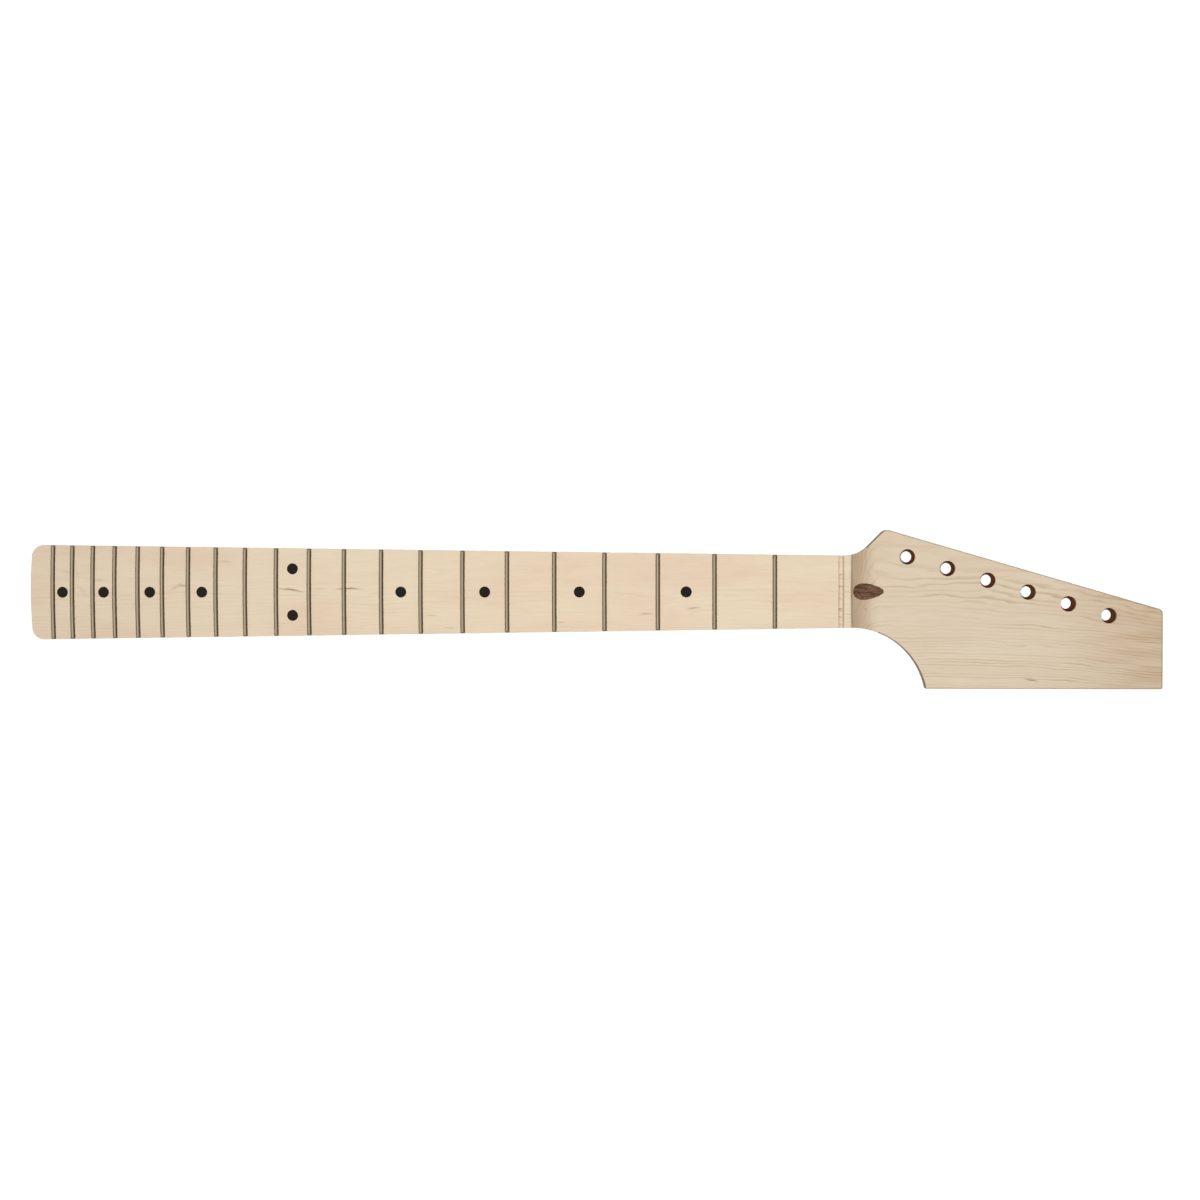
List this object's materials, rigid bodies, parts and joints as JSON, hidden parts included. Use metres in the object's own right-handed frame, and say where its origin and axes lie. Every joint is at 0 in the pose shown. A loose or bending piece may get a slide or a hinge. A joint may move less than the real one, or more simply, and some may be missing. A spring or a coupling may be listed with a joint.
{
  "type": "electric guitar neck",
  "caption": "Bare bolt-on electric guitar neck: one-piece maple with pressed-in frets, black dots, in-line drilled headstock, heel-adjusted truss rod and walnut back stripe.",
  "frame": {"origin": "middle of the heel's flat back face, which seats in the body's neck pocket", "axes": "+X from the heel towards the headstock along the centre line, +Y towards the bass side, +Z out of the playing face"},
  "size_m": [0.6514, 0.0908, 0.0265],
  "materials": {
    "maple": "bare sanded maple, sealed and matt",
    "walnut": "bare sanded walnut",
    "fret_wire": "satin nickel silver",
    "black_dot": "black plastic sanded flush",
    "steel": "plain turned steel"
  },
  "bodies": {
    "neck_body": {"neck": "maple", "skunk_stripe": "walnut", "headstock_plug": "walnut", "truss_rod": "steel", "truss_rod_anchor": "steel", "fret_01": "fret_wire", "fret_02": "fret_wire", "fret_03": "fret_wire", "fret_04": "fret_wire", "fret_05": "fret_wire", "fret_06": "fret_wire", "fret_07": "fret_wire", "fret_08": "fret_wire", "fret_09": "fret_wire", "fret_10": "fret_wire", "fret_11": "fret_wire", "fret_12": "fret_wire", "fret_13": "fret_wire", "fret_14": "fret_wire", "fret_15": "fret_wire", "fret_16": "fret_wire", "fret_17": "fret_wire", "fret_18": "fret_wire", "fret_19": "fret_wire", "fret_20": "fret_wire", "fret_21": "fret_wire", "face_dot_03": "black_dot", "face_dot_05": "black_dot", "face_dot_07": "black_dot", "face_dot_09": "black_dot", "face_dot_12_a": "black_dot", "face_dot_12_b": "black_dot", "face_dot_15": "black_dot", "face_dot_17": "black_dot", "face_dot_19": "black_dot", "face_dot_21": "black_dot", "side_dot_03": "black_dot", "side_dot_05": "black_dot", "side_dot_07": "black_dot", "side_dot_09": "black_dot", "side_dot_12_a": "black_dot", "side_dot_12_b": "black_dot", "side_dot_15": "black_dot", "side_dot_17": "black_dot", "side_dot_19": "black_dot", "side_dot_21": "black_dot"},
    "rod_washer": {"truss_rod_washer": "steel"},
    "rod_nut": {"truss_rod_nut": "steel"}
  },
  "joints": [
    {"name": "rod_nut_travel", "type": "slide", "parent": "neck_body", "child": "rod_washer", "axis": [-1, 0, 0], "range_m": [0, 0.00159]},
    {"name": "rod_nut_turn", "type": "hinge", "parent": "rod_washer", "child": "rod_nut", "pos_m": [-0.0376, 0, 0.0135], "axis": [-1, 0, 0], "range_deg": [0, 720]}
  ],
  "couplings": [
    {"joint": "rod_nut_turn", "follows": "rod_nut_travel", "rad_per_m": 7915.8}
  ]
}
